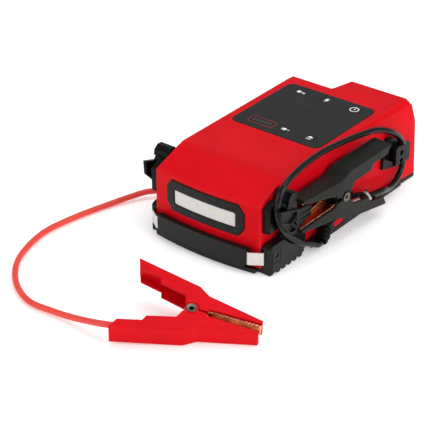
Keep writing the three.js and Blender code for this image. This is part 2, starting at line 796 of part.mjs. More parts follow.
/** Side views, in y and z, of the rear cleat's layers. */
const rearCleatViews = {
  plate: [[70, 34], [72, 60], [80, 66], [92, 60], [122, 46], [122, 27], [112, 24]],
  head: [[77.5, 39], [77.5, 57], [81, 60], [94, 58], [98, 54], [98, 38]],
  crest: [[76, 56], [76, 66], [80, 68], [88, 64], [90, 58]],
};

/** Rear cleat: base plate, stem and an outer block with two holes. */
function rearCleat(side) {
  const { plate, head, crest } = rearCleatViews;
  const body = unite([
    prism('x', outline(plate), 70, 77),
    box([70, 86], [80, 93], [41, 58]),
    prism('x', outline(head), 84.1, 88),
    prism('x', outline(crest), 70, 80.5),
  ]);
  const holes = [50.7, 41.5].map((z) => rod('x', [88, z], 2.9, 84.5, 90, 14));
  return mirrored(cut(body, [casingForm(-GAP, 0), ...holes]), side);
}

function addCleats() {
  for (const [word, side] of [['left', -1], ['right', 1]]) {
    addPiece(`front_cleat_${word}`, frontCleat(side), paints.blackShell);
    addPiece(`rear_cleat_${word}`, rearCleat(side), paints.blackShell);
  }
}

// ---------------------------------------------------------------- clamps
// A clamp's own frame: u runs from the pivot to the jaw tips, v across towards the free lever,
// n along the rivet. Both levers share one profile, drawn here with the jaws closed.

const stowed = {
  word: 'black',
  pivot: [84.2, -22.1, 50.6],
  tilt: [-5.3, 0.9, -3],
  base: new THREE.Matrix4().makeBasis(axis(0, -1, 0), axis(0, 0, 1), axis(-1, 0, 0)),
  cableDepths: [9, 8.8, 8.2, 7.5, 7.5], // cable's middle under the lever's back, from the handle end in
  cableLeverOpen: 13.1,
  freeLeverOpen: 8.3,
};
const lying = {
  word: 'red',
  pivot: [76.2, -242.6, 17.5],
  tilt: [14.6, 6.3, 22.1],
  base: new THREE.Matrix4(),
  cableDepths: [11.8, 10.5, 8.4, 7.5, 7.5],
  cableLeverOpen: 2.4,
  freeLeverOpen: 2.4,
};
const lugDepth = 7.5; // cable's end below the outside of the lever's back

/** The group that holds one clamp, turned from its base axes by its tilt. */
function clampFrame(pose) {
  const placed = new THREE.Group();
  placed.position.set(...pose.pivot);
  const [x, y, z] = pose.tilt.map(THREE.MathUtils.degToRad);
  placed.rotation.set(x, y, z, 'ZYX');
  const frame = new THREE.Group();
  frame.quaternion.setFromRotationMatrix(pose.base);
  placed.add(frame);
  group.add(placed);
  return frame;
}

/** A lever's group inside its clamp: side 1 is the free lever and -1 the cable's lever. */
function leverFrame(frame, side, openDegrees) {
  const lever = new THREE.Group();
  lever.rotation.z = side * THREE.MathUtils.degToRad(openDegrees);
  frame.add(lever);
  group.updateMatrixWorld(true);
  return lever;
}

function arcPoints(radius, from, to, steps) {
  return Array.from({ length: steps + 1 }, (_, i) => {
    const angle = THREE.MathUtils.degToRad(from + ((to - from) * i) / steps);
    return [radius * Math.cos(angle), radius * Math.sin(angle)];
  });
}

function flipV(points, side) {
  return points.map(([u, v]) => [u, side * v]);
}

/** Height of the outside of a lever's back over the closing plane, along its handle. */
function handleBack(u) {
  const [, , shoulder, end] = clamp.back;
  return shoulder[1] + ((end[1] - shoulder[1]) * (u - shoulder[0])) / (end[0] - shoulder[0]);
}

/** Keeps what lies between two side faces that draw in towards the jaw tips. */
function widthMask(halfWidth) {
  const tip = halfWidth - (clamp.halfWidth - clamp.tipHalfWidth);
  const tipU = clamp.back[0][0];
  const kneeU = clamp.back[1][0];
  const edge = [[-80, halfWidth], [kneeU, halfWidth], [tipU, tip], [tipU + 2, tip]];
  const farEdge = [...edge].reverse().map(([u, n]) => [u, -n]);
  return prism('y', outline([...edge, ...farEdge]), -60, 60);
}

/** Height of a jaw's edge over the closing plane, along its teeth. */
function jawEdge(u) {
  const { teethStart, teethEdge, tipEdge, back } = clamp;
  const tipU = back[0][0];
  return teethEdge + ((tipEdge - teethEdge) * (u - teethStart)) / (tipU - teethStart);
}

function leverProfile() {
  const { back, front, earRadius, throatEdge, teethStart, teethEdge, tipEdge } = clamp;
  const ear = arcPoints(earRadius, 142, 364, 10);
  const throat = [[9, throatEdge], [teethStart - 1, throatEdge]];
  return [...back, ...front, ...ear, ...throat, [teethStart, teethEdge], [back[0][0], tipEdge]];
}

/** The lever's hollow: its back line drawn in by the wall, open at the front and at both ends. */
function channelProfile() {
  const [tip, knee, shoulder, end] = clamp.back;
  const { wall } = clamp;
  const slope = (knee[1] - tip[1]) / (knee[0] - tip[0]);
  const past = 4;
  return [
    [tip[0] + past, tip[1] - wall + past * slope],
    [knee[0] - 0.3, knee[1] - wall],
    [shoulder[0] - 0.4, shoulder[1] - wall - 0.4],
    [end[0] - 3, end[1] - wall + 0.6],
    [end[0] - 3, 20],
    [-20, 6],
    [-8, -12],
    [tip[0] + past, -12],
  ];
}

/** One ear of the free lever, set inside the cable lever's ears and tied to its own side wall. */
function innerEar(side, face) {
  const low = face > 0 ? 6.6 : -8.4;
  const tieLow = face > 0 ? 6.6 : -9.6;
  const plate = [...arcPoints(clamp.earRadius, 150, 375, 10), [9.6, 3], [9.6, 12], [-9, 13.5]];
  const tie = [[-8, 9], [11, 9], [11.5, 12], [-8, 13]];
  const ear = prism('z', outline(flipV(plate, side)), low, low + 1.8);
  return ear.add(prism('z', outline(flipV(tie, side)), tieLow, tieLow + 3));
}

function leverBody(side) {
  const { halfWidth, wall, earRadius, rivetRadius } = clamp;
  const wholeWidth = (profile) => prism('z', outline(flipV(profile, side)), -halfWidth, halfWidth);
  const hollow = wholeWidth(channelProfile()).intersect(widthMask(halfWidth - wall));
  const shell = wholeWidth(leverProfile()).intersect(widthMask(halfWidth)).subtract(hollow);
  const bore = rod('z', [0, 0], rivetRadius + GAP, -20, 20, 12);
  if (side < 0) return shell.subtract(bore);
  const swing = rod('z', [0, 0], earRadius + 0.6, -20, 20, 14);
  return unite([shell.subtract(swing), innerEar(side, 1), innerEar(side, -1)]).subtract(bore);
}

/** Copper lining of one jaw: a channel whose free edges are cut to teeth. */
function jawLiner(side) {
  const { linerStart, teethStart, toothPitch, toothDepth, halfWidth, wall, back } = clamp;
  const end = back[0][0] - 0.5;
  const sheet = 0.8;
  const rim = 1.2;
  const startHeight = 8;
  const endHeight = 3.2;
  const count = Math.round((end - teethStart) / toothPitch);
  const pitch = (end - teethStart) / count;
  const edge = [[linerStart, 1.1], [teethStart, 1.1]];
  for (let i = 0; i < count; i += 1) {
    const rootU = teethStart + i * pitch;
    const tipU = rootU + pitch / 2;
    edge.push([rootU + 0.1, jawEdge(rootU) - 0.2], [tipU, jawEdge(tipU) - toothDepth]);
  }
  edge.push([end, jawEdge(end) - 0.2]);
  const across = (points) => prism('z', outline(flipV(points, side)), -20, 20);
  const form = across([...edge, [end, endHeight], [linerStart, startHeight]]);
  const hollow = across([
    [linerStart - 1, -2],
    [end - rim, -2],
    [end - rim, endHeight - sheet],
    [linerStart - 1, startHeight - sheet],
  ]);
  const outerHalf = halfWidth - wall - GAP;
  return form.intersect(widthMask(outerHalf)).subtract(hollow.intersect(widthMask(outerHalf - rim)));
}

/** Eyelet rivet: a hollow shank with a rolled, dished head on each ear. */
function rivet() {
  const { rivetRadius, rivetHeadRadius, halfWidth } = clamp;
  const under = halfWidth + GAP;
  const top = under + 0.9;
  const profile = [
    [rivetRadius - 1, 0], [rivetRadius, 0], [rivetRadius, under], [rivetHeadRadius, under],
    [rivetHeadRadius, top - 0.3], [rivetHeadRadius - 0.7, top], [rivetRadius + 0.6, top],
    [rivetRadius - 1, under], [rivetRadius - 1, 0],
  ];
  const half = turned(profile, 16, axis(0, 0, 0), axis(0, 0, 1));
  return half.add(half.mirror([0, 0, 1]));
}

/** Torsion spring: a coil round the rivet with one leg against each lever's back. */
function torsionSpring(pose) {
  const coil = { radius: 5, wire: 1, half: 4.8, legU: -17 };
  const legV = handleBack(coil.legU) - clamp.wall - coil.wire - 0.6;
  const legEnd = (side, open) => {
    const angle = side * THREE.MathUtils.degToRad(open);
    return axis(coil.legU, side * legV, side * coil.half).applyAxisAngle(axis(0, 0, 1), angle);
  };
  const points = [legEnd(-1, pose.cableLeverOpen)];
  const samples = 14;
  for (let i = 0; i <= samples; i += 1) {
    const angle = THREE.MathUtils.degToRad(-45 + (810 * i) / samples);
    const n = -coil.half + (2 * coil.half * i) / samples;
    points.push(axis(coil.radius * Math.cos(angle), coil.radius * Math.sin(angle), n));
  }
  points.push(legEnd(1, pose.freeLeverOpen));
  return tube(points, coil.wire, 38, 5);
}

/** Crimped sleeve round the cable's end, in the cable lever's frame. */
function cableLug() {
  const inner = cable.radius + 0.4;
  const outer = inner + 0.7;
  const startU = -31;
  const start = axis(startU, lugDepth - handleBack(startU), 0);
  const direction = axis(1, handleBack(0) - handleBack(1), 0);
  return turned([[inner, 0], [outer, 0], [outer, 11.5], [inner, 11.5], [inner, 0]], 14, start, direction);
}

/** Arched band that holds the cable in its lever, with a foot on the channel's floor. */
function cableStrap() {
  const { halfWidth, wall } = clamp;
  const u = [-43.5, -40.5];
  const radius = halfWidth - wall - GAP;
  const floor = wall + 3 * GAP - handleBack(u[1]);
  const centre = floor + 4.8;
  const arch = (r) => arcPoints(r, 0, 180, 10).map(([n, v]) => [n, centre + v]);
  const bandOutline = (r, low) => [[-r, low], [r, low], ...arch(r)];
  const across = (points) => outline(points.map(([n, v]) => [v, n]));
  const band = prism('x', across(bandOutline(radius, floor)), ...u);
  return band.subtract(prism('x', across(bandOutline(radius - 0.8, floor + 0.8)), u[0] - 1, u[1] + 1));
}

/** Points along the cable's middle inside the cable lever, in world coordinates. */
function cableInLever(lever, depths) {
  return [-72, -60, -42, -32, -22].map((u, i) => {
    const local = axis(u, depths[i] - handleBack(u), 0);
    return local.applyMatrix4(lever.matrixWorld);
  });
}

/** Adds one clamp and returns where its cable runs. */
function addClamp(pose, leverPaint) {
  const frame = clampFrame(pose);
  const cableLever = leverFrame(frame, -1, pose.cableLeverOpen);
  const freeLever = leverFrame(frame, 1, pose.freeLeverOpen);
  const prefix = `${pose.word}_clamp`;
  addPiece(`${prefix}_cable_lever`, leverBody(-1), leverPaint, cableLever);
  addPiece(`${prefix}_free_lever`, leverBody(1), leverPaint, freeLever);
  addPiece(`${prefix}_cable_jaw`, jawLiner(-1), paints.copper, cableLever);
  addPiece(`${prefix}_free_jaw`, jawLiner(1), paints.copper, freeLever);
  addPiece(`${prefix}_cable_lug`, cableLug(), paints.steel, cableLever);
  addPiece(`${prefix}_cable_strap`, cableStrap(), paints.steel, cableLever);
  addPiece(`${prefix}_rivet`, rivet(), paints.steel, frame);
  addPiece(`${prefix}_spring`, torsionSpring(pose), paints.steel, frame);
  return cableInLever(cableLever, pose.cableDepths);
}

// ---------------------------------------------------------------- cables

/** Ribbed rubber boot that carries a cable out of the casing and bends it onto its route. */
function strainRelief(side, route) {
  const { radius, bootRadius, bootEndRadius, bootRibs } = cable;
  const points = bootPoints(side);
  const curve = new THREE.CatmullRomCurve3(points, false, 'centripetal');
  const core = tube(points, radius + 1.9, 12, 10);
  const ribs = Array.from({ length: bootRibs }, (_, i) => {
    const t = (i + 1) / (bootRibs + 0.6);
    const r = bootRadius + (bootEndRadius - bootRadius) * t;
    const profile = [[0, -1.4], [r - 0.5, -1.4], [r, 0], [r - 0.5, 1.4], [0, 1.4]];
    return turned(profile, 14, curve.getPointAt(t), curve.getTangentAt(t));
  });
  const bore = tube([...cableStart(side, 0.45), ...routePoints(route.slice(0, 2))], radius + 0.9, 22, 10);
  return unite([core, ...ribs]).subtract(bore);
}

/** Points that start a cable inside its boot, part of the way along it. */
function cableStart(side, from = 0.5) {
  const curve = new THREE.CatmullRomCurve3(bootPoints(side), false, 'centripetal');
  const mouth = curve.getPointAt(1).addScaledVector(curve.getTangentAt(1), 1);
  return [from, 0.75].map((t) => curve.getPointAt(t)).concat([mouth]);
}

const blackRoute = [
  [84.8, -53.5, 6.4], [83.6, -67, 13.6], [81.8, -80.5, 20.4], [79.9, -91, 29.4], [77.9, -100, 38],
  [77.6, -107.5, 48.5], [77.6, -112, 59], [77.6, -114, 69], [77.6, -111.5, 82], [77.4, -102.5, 91.4],
  [73.4, -75.5, 95.3], [70, -34, 95.4], [70, 0.5, 92.4], [72, 33, 88.8], [75.6, 60, 84.6],
  [79.6, 78, 76.4], [80.6, 95, 62.5], [80.6, 102, 50], [80.7, 103, 36], [81, 99.5, 23.5],
  [82.6, 88, 16.6], [85, 70, 15.5],
];
const redRoute = [
  [-99, -59, 6.6], [-116.8, -75.4, 7.6], [-126.5, -91.7, 5.8], [-136, -113, 3.6], [-146.5, -155, 3.6],
  [-151.4, -194, 3.6], [-146.8, -222.7, 3.6], [-132.9, -256.3, 3.6], [-106, -285.3, 3.6],
  [-74.2, -300.6, 3.6], [-46, -300.3, 4.3], [-25, -299, 5.8], [-4.3, -299.5, 10],
];

function routePoints(route) {
  return route.map((point) => axis(...point));
}

function cableBody(side, route, leverPoints, steps) {
  const points = [...cableStart(side), ...routePoints(route), ...leverPoints];
  return tube(points, cable.radius, steps, 8);
}

function addClampsAndCables() {
  addPiece('strain_relief_left', strainRelief(-1, redRoute), paints.rubber);
  addPiece('strain_relief_right', strainRelief(1, blackRoute), paints.rubber);
  const inBlackLever = addClamp(stowed, paints.blackClamp);
  const inRedLever = addClamp(lying, paints.redClamp);
  addPiece('black_cable', cableBody(1, blackRoute, inBlackLever, 84), paints.blackCable);
  addPiece('red_cable', cableBody(-1, redRoute, inRedLever, 60), paints.redCable);
}

addCasing();
addPanel();
addLamp();
addInsides();
addHandle();
addCleats();
addClampsAndCables();

export default group;
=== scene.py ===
"""Looks of the jump starter pack: rounded mouldings, smooth cables and springs, printed icons and
procedural materials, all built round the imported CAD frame. Metres, +Z up, lamp facing -Y."""
import json
import math

import bmesh
import bpy
from mathutils import Matrix, Vector


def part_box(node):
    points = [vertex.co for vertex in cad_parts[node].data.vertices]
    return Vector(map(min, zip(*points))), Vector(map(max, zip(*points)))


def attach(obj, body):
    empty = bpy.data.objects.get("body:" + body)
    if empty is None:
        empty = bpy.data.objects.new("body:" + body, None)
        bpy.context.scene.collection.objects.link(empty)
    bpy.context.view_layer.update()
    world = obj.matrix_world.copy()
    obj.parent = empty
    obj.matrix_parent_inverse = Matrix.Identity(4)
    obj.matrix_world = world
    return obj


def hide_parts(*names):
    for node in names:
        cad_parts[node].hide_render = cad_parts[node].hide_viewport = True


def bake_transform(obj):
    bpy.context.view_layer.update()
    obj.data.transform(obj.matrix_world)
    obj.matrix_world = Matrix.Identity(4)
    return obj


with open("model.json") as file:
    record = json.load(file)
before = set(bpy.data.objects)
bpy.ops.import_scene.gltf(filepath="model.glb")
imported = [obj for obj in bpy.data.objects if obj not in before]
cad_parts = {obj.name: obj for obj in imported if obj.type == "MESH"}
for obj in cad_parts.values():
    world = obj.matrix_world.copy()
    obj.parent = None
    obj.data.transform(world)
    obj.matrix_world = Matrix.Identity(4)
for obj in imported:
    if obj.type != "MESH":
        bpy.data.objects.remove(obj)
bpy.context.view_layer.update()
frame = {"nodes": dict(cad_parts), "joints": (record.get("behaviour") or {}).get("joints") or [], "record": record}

MM = 0.001
ROOT = "pack"
SIDES = (("left", -1), ("right", 1))
CLAMPS = ("black", "red")
SOFT_ANGLE = math.radians(24)  # edges flatter than this stay as they are
CABLE_RADIUS = 3.1 * MM
# The right boot's middle line in millimetres, as in the CAD. The cable starts part of the way along it.
BOOT_LINE = ((62, -24, 16), (69, -27.5, 15.4), (76.5, -32.5, 13.6), (81.8, -40, 9.8), (83.9, -48, 7))
CABLE_START = BOOT_LINE[2]
PANEL_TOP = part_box("control_panel")[1][2] / MM
slot_of = {part["node"]: part["material_slot"] for part in frame["record"]["subparts"]}
body_of = {node: body for body, nodes in frame["record"]["behaviour"]["bodies"].items() for node in nodes}
joints = {joint["name"]: joint for joint in frame["joints"]}


# ---------------------------------------------------------------- material helpers

class Nodes:
    """A material's node tree, with short ways to add and join its nodes."""

    def __init__(self, name):
        self.material = bpy.data.materials.new(name)
        self.material.use_nodes = True
        self.tree = self.material.node_tree
        self.tree.nodes.clear()
        self.output = self.tree.nodes.new("ShaderNodeOutputMaterial")
        self.position = self.tree.nodes.new("ShaderNodeTexCoord").outputs["Object"]

    def add(self, kind, inputs=None, **settings):
        node = self.tree.nodes.new("ShaderNode" + kind)
        for key, value in settings.items():
            setattr(node, key, value)
        for key, value in (inputs or {}).items():
            if isinstance(value, bpy.types.NodeSocket):
                self.tree.links.new(value, node.inputs[key])
            else:
                node.inputs[key].default_value = value
        return node

    def noise(self, size, detail=3):
        """Noise with features of about this size in metres."""
        inputs = {"Vector": self.position, "Scale": 1 / size, "Detail": detail}
        return self.add("TexNoise", inputs).outputs["Fac"]

    def product(self, first, second):
        return self.add("Math", {0: first, 1: second}, operation="MULTIPLY").outputs[0]

    def spread(self, value, low, high, start=0.3, end=0.7):
        """Moves a 0 to 1 value into another range."""
        inputs = {"Value": value, "From Min": start, "From Max": end, "To Min": low, "To Max": high}
        return self.add("MapRange", inputs).outputs[0]

    def mix(self, factor, first, second):
        """Blends two colours, each a plain colour or another node's result."""
        node = self.add("Mix", {"Factor": factor}, data_type="RGBA")
        for socket, value in ((node.inputs[6], first), (node.inputs[7], second)):
            if isinstance(value, bpy.types.NodeSocket):
                self.tree.links.new(value, socket)
            else:
                socket.default_value = (*value, 1)
        return node.outputs[2]

    def edges(self, radius):
        """0 on flat faces, rising to 1 along edges; it masks both worn edges and painted highlights."""
        soft = self.add("Bevel", {"Radius": radius}, samples=4).outputs[0]
        hard = self.add("NewGeometry").outputs["Normal"]
        dot = self.add("VectorMath", {0: soft, 1: hard}, operation="DOT_PRODUCT").outputs["Value"]
        return self.spread(dot, 1, 0, 0.8, 0.99)

    def bump(self, height, depth, strength=0.6, normal=None):
        inputs = {"Height": height, "Distance": depth, "Strength": strength}
        if normal:
            inputs["Normal"] = normal
        return self.add("Bump", inputs).outputs[0]

    def finish(self, shader):
        self.tree.links.new(shader, self.output.inputs[0])
        return self.material


def shade(colour, factor):
    return tuple(min(1, channel * factor) for channel in colour)


def moulded(name, colour, roughness, grain=0.5 * MM, depth=0.03 * MM, wear_and_highlight=0.3, specular=0.09,
            softness=1.2 * MM, painted_edge_highlight=0.0):
    """Moulded plastic: even colour that clouds a little, fine grain, soft edges, and edges painted lighter in
    patches, partly worn and partly painted highlight.

    With an edge highlight amount, a painted highlight also lightens a wider band along each edge."""
    n = Nodes(name)
    clouds = n.mix(n.spread(n.noise(45 * MM), 0, 1), shade(colour, 0.93), shade(colour, 1.06))
    # Edges painted lighter in patches: partly worn plastic, partly painted highlight on the rims.
    worn_and_highlit = shade(colour, 1.25) if max(colour) > 0.3 else tuple(channel + 0.03 for channel in colour)
    worn_and_highlit_mask = n.product(n.edges(0.7 * MM), n.spread(n.noise(6 * MM), 0, wear_and_highlight))
    base = n.mix(worn_and_highlit_mask, clouds, worn_and_highlit)
    # Painted highlight: a wider band along every edge is lightened.
    if painted_edge_highlight:
        lit = tuple(channel + 0.04 for channel in shade(colour, 1.35))
        base = n.mix(n.product(n.edges(4 * MM), painted_edge_highlight), base, lit)
    rough = n.spread(n.noise(14 * MM), roughness - 0.05, roughness + 0.07)
    soft = n.add("Bevel", {"Radius": softness}, samples=4).outputs[0]
    shader = n.add("BsdfPrincipled", {
        "Base Color": base, "Roughness": rough, "Specular IOR Level": specular,
        "Normal": n.bump(n.noise(grain, 2), depth, normal=soft),
    })
    return n.finish(shader.outputs[0])


def metal(name, colour, tarnish, roughness, grain=1.2 * MM, rim=None):
    """Bare metal with soft patches of tarnish and, with a rim colour, edges painted brighter, partly as worn metal
    and partly as painted highlight.
    """
    n = Nodes(name)
    patches = n.spread(n.noise(9 * MM), 0, 1, 0.42, 0.72)
    base = n.mix(patches, colour, tarnish)
    # Edges painted in the rim colour: partly worn metal, partly painted highlight.
    if rim:
        base = n.mix(n.edges(1.4 * MM), base, rim)
    rough = n.spread(n.noise(grain), roughness - 0.04, roughness + 0.06)
    shader = n.add("BsdfPrincipled", {
        "Base Color": base, "Roughness": rough, "Metallic": 1,
        "Normal": n.bump(n.noise(grain), 0.005 * MM, 0.3),
    })
    return n.finish(shader.outputs[0])


def clear(name, tint, haze, painted_glow=0.0):
    """Clear plastic: partly see-through, a little milky, with a gloss on top and a painted highlight along its
    edges; an emission amount adds painted light as if lit inside.
    """
    n = Nodes(name)
    milk = n.spread(n.noise(30 * MM), haze * 0.98, min(1, haze * 1.02))
    base = n.mix(n.spread(n.noise(3 * MM), 0, 1), tint, shade(tint, 0.94))
    # Painted highlight: the edges are lightened as if light caught the lens's rim.
    base = n.mix(n.edges(1.2 * MM), base, shade(tint, 1.35))
    # Painted light: emission lightens the lens as if light reached its inside.
    gloss = n.add("BsdfPrincipled", {
        "Base Color": base, "Roughness": 0.08, "Specular IOR Level": 0.3,
        "Emission Color": base, "Emission Strength": painted_glow,
        "Normal": n.bump(n.noise(4 * MM, 2), 0.02 * MM, 0.3),
    })
    see_through = n.add("BsdfTransparent", {"Color": (*tint, 1)})
    blend = n.add("MixShader", {0: milk, 1: see_through.outputs[0], 2: gloss.outputs[0]})
    return n.finish(blend.outputs[0])


def glowing(name, colour, strength):
    """A printed or LED colour with slight unevenness, lightened by emission as a painted glow."""
    n = Nodes(name)
    base = n.mix(n.spread(n.noise(1.5 * MM), 0, 1), colour, shade(colour, 0.85))
    shader = n.add("BsdfPrincipled", {
        "Base Color": base, "Roughness": n.spread(n.noise(2 * MM), 0.35, 0.5),
        "Emission Color": base, "Emission Strength": strength,
    })
    return n.finish(shader.outputs[0])


def circuit(name):
    """Green solder mask with faint tracks."""
    n = Nodes(name)
    lines = n.add("TexBrick", {"Vector": n.position, "Scale": 1 / (20 * MM), "Mortar Size": 0.03})
    base = n.mix(lines.outputs["Fac"], (0.01, 0.14, 0.05), (0.03, 0.24, 0.09))
    rough = n.spread(n.noise(8 * MM), 0.25, 0.45)
    shader = n.add("BsdfPrincipled", {"Base Color": base, "Roughness": rough})
    return n.finish(shader.outputs[0])


def plastics():
    """The moulded materials, by slot."""
    red = (0.63, 0.003, 0.009)
    red_clamp = (0.63, 0.002, 0.008)
    red_cable = (0.76, 0.06, 0.042)
    black = (0.0065, 0.0065, 0.0062)
    black_clamp = (0.011, 0.011, 0.01)
    black_cable = (0.002, 0.002, 0.002)
    rubber = (0.0055, 0.0055, 0.0055)
    grey = (0.024, 0.024, 0.0245)
    white = (0.82, 0.82, 0.8)
    # Edge lightening in these looks is partly worn plastic and partly painted highlight; the red casing also gets
    # a wide painted highlight band.
    looks = {
        "red_casing": dict(colour=red, roughness=0.4, specular=0.05, softness=2.5 * MM, painted_edge_highlight=0.4),
        "black_casing": dict(colour=black, roughness=0.32, grain=0.7 * MM, wear_and_highlight=0.7, specular=0.18),
        "panel_plastic": dict(colour=grey, roughness=0.5, grain=0.35 * MM, wear_and_highlight=0.15),
        "key_plastic": dict(colour=grey, roughness=0.5, grain=0.35 * MM, wear_and_highlight=0.2),
        "white_plastic": dict(colour=white, roughness=0.3, wear_and_highlight=0.05),
        "soft_rubber": dict(colour=rubber, roughness=0.5, grain=0.9 * MM, depth=0.05 * MM),
        "red_cable_jacket": dict(colour=red_cable, roughness=0.34, wear_and_highlight=0.1, specular=0.3),
        "black_cable_jacket": dict(colour=black_cable, roughness=0.15, depth=0.01 * MM, wear_and_highlight=0.1,
                                   specular=0.26),
        "red_clamp_plastic": dict(colour=red_clamp, roughness=0.38, wear_and_highlight=0.35, specular=0.06,
                                  softness=0.8 * MM),
        "black_clamp_plastic": dict(colour=black_clamp, roughness=0.3, wear_and_highlight=0.8, specular=0.1),
    }
    return {slot: moulded(slot, **look) for slot, look in looks.items()}


materials = {
    **plastics(),
    "smoked_window": clear("smoked_window", (0.004, 0.004, 0.005), 0.92),
    # The lens gives off a little painted light, as if lit inside.
    "clear_lens": clear("clear_lens", (0.68, 0.68, 0.67), 0.86, painted_glow=0.14),
    "circuit_board": circuit("circuit_board"),
    "aluminium": metal("aluminium", (0.74, 0.73, 0.72), (0.68, 0.67, 0.66), 0.34),
    # Copper jaw liners: their teeth edges are painted bright, partly worn metal and partly painted highlight.
    "copper": metal("copper", (0.88, 0.33, 0.11), (0.42, 0.11, 0.03), 0.3, rim=(1.0, 0.8, 0.62)),
    "bright_steel": metal("bright_steel", (0.66, 0.65, 0.63), (0.58, 0.57, 0.55), 0.32, grain=4 * MM),
}
# Looks of single pieces that differ from the rest of their slot.
# Painted glow: the white print and the LED domes give off a little light of their own, so they read brighter.
print_white = glowing("print_white", (0.8, 0.8, 0.8), 0.12)
print_red = glowing("print_red", (0.34, 0.008, 0.02), 0.02)
print_grey = glowing("print_grey", (0.02, 0.021, 0.022), 0.0)
led_yellow = glowing("led_yellow", (0.86, 0.74, 0.34), 0.25)
led_orange = glowing("led_orange", (0.85, 0.42, 0.12), 0.25)
# Near-black cleats whose edges are painted lighter, partly worn and partly painted highlight on their rims.
cleat_black = moulded("cleat_black", (0.003, 0.003, 0.003), 0.3, wear_and_highlight=0.9, specular=0.12)
rivet_steel = metal("rivet_steel", (0.18, 0.15, 0.13), (0.12, 0.1, 0.08), 0.3)
dark_steel = metal("dark_steel", (0.05, 0.05, 0.05), (0.03, 0.03, 0.03), 0.4)


# ---------------------------------------------------------------- mesh helpers

def new_object(name, bm):
    mesh = bpy.data.meshes.new(name)
    bm.to_mesh(mesh)
    bm.free()
    obj = bpy.data.objects.new(name, mesh)
    bpy.context.scene.collection.objects.link(obj)
    return obj


def add_piece(obj, body, slot, *nodes, material=None):
    """Paints a finished object and ties it to its body, standing for these CAD nodes."""
    obj.data.materials.clear()
    obj.data.materials.append(material or materials[slot])
    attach(obj, body)
    if nodes:
        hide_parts(*nodes)
    return obj


def cad_mesh(node):
    """The CAD node's mesh with its flat faces made whole again."""
    bm = bmesh.new()
    bm.from_mesh(frame["nodes"][node].data)
    bmesh.ops.remove_doubles(bm, verts=bm.verts, dist=0.01 * MM)
    bmesh.ops.dissolve_degenerate(bm, edges=bm.edges, dist=0.05 * MM)
    bmesh.ops.dissolve_limit(bm, angle_limit=math.radians(0.8), verts=bm.verts, edges=bm.edges)
    return bm


def smooth(obj, angle=35):
    """Shades the object smooth, apart from edges sharper than this many degrees."""
    mesh = obj.data
    mesh.polygons.foreach_set("use_smooth", [True] * len(mesh.polygons))
    mesh.set_sharp_from_angle(angle=math.radians(angle))


def apply_modifiers(obj):
    """Swaps the object's mesh for the one its modifiers give."""
    graph = bpy.context.evaluated_depsgraph_get()
    mesh = bpy.data.meshes.new_from_object(obj.evaluated_get(graph))
    obj.modifiers.clear()
    obj.data = mesh
    return obj


def rounded(node, radius, segments=2, material=None):
    """Stands in for a CAD node: the same shape with its sharp edges rounded."""
    obj = new_object(f"{node}_shell", cad_mesh(node))
    bevel = obj.modifiers.new("round", "BEVEL")
    bevel.limit_method = "ANGLE"
    bevel.angle_limit = SOFT_ANGLE
    bevel.width = radius
    bevel.segments = segments
    bevel.miter_outer = "MITER_ARC"
    apply_modifiers(obj)
    smooth(obj)
    flat = obj.modifiers.new("keep_flat_faces_flat", "WEIGHTED_NORMAL")
    flat.keep_sharp = True
    apply_modifiers(obj)
    return add_piece(obj, body_of[node], slot_of[node], node, material=material)


def tube_centres(node, radius, start):
    """The middle line of a tube-shaped CAD node, in order from its end nearest to start.

    Each vertex stepped inwards by the radius lands on its ring's centre, so the rings show as clusters."""
    bm = bmesh.new()
    bm.from_mesh(frame["nodes"][node].data)
    bmesh.ops.remove_doubles(bm, verts=bm.verts, dist=0.01 * MM)
    bm.normal_update()
    inward = [v.co - radius * v.normal for v in bm.verts]
    bm.free()
    one_ring, fewest = 2.2 * MM, 5
    clusters = []
    for point in inward:
        near = [c for c in clusters if (c[0] / c[1] - point).length < one_ring]
        if near:
            near[0][0] += point
            near[0][1] += 1
        else:
            clusters.append([point.copy(), 1])
    left = [total / count for total, count in clusters if count >= fewest]
    line = [min(left, key=lambda c: (c - start).length)]
    left.remove(line[0])
    while left:
        line.append(min(left, key=lambda c: (c - line[-1]).length))
        left.remove(line[-1])
    return line


def flowing(points, spans):
    """More points along a smooth curve through these ones."""
    line = []
    last = len(points) - 1
    for i in range(last):
        before, start, end, after = (points[min(max(k, 0), last)] for k in (i - 1, i, i + 1, i + 2))
        for step in range(spans):
            t = step / spans
            line.append(0.5 * (2 * start + (end - before) * t
                               + (2 * before - 5 * start + 4 * end - after) * t * t
                               + (3 * start - before - 3 * end + after) * t ** 3))
    return line + [points[last]]


def sweep(name, line, stations, sides=24):
    """A round skin along a line: each station is (place in the line, radius). Both ends are closed."""
    last = len(line) - 1
    nearly_parallel = 0.98
    across = Vector((0, 0, 1))
    frames = []
    for i in range(last + 1):
        along = (line[min(i + 1, last)] - line[max(i - 1, 0)]).normalized()
        if abs(across.dot(along)) > nearly_parallel:
            across = Vector((1, 0, 0))
        across = (across - across.dot(along) * along).normalized()
        frames.append((across, along.cross(across)))
    bm = bmesh.new()
    rings = []
    for place, radius in stations:
        first, second = frames[place]
        angles = [2 * math.pi * k / sides for k in range(sides)]
        points = [line[place] + radius * (math.cos(a) * first + math.sin(a) * second) for a in angles]
        rings.append([bm.verts.new(point) for point in points])
    for low, high in zip(rings, rings[1:]):
        for k in range(sides):
            j = (k + 1) % sides
            bm.faces.new((low[k], low[j], high[j], high[k]))
    bm.faces.new(rings[0][::-1])
    bm.faces.new(rings[-1])
    bmesh.ops.recalc_face_normals(bm, faces=bm.faces)
    obj = new_object(name, bm)
    smooth(obj, 50)
    return obj


def tube(name, line, radius, sides=24):
    return sweep(name, line, [(i, radius) for i in range(len(line))], sides)


# ---------------------------------------------------------------- pieces

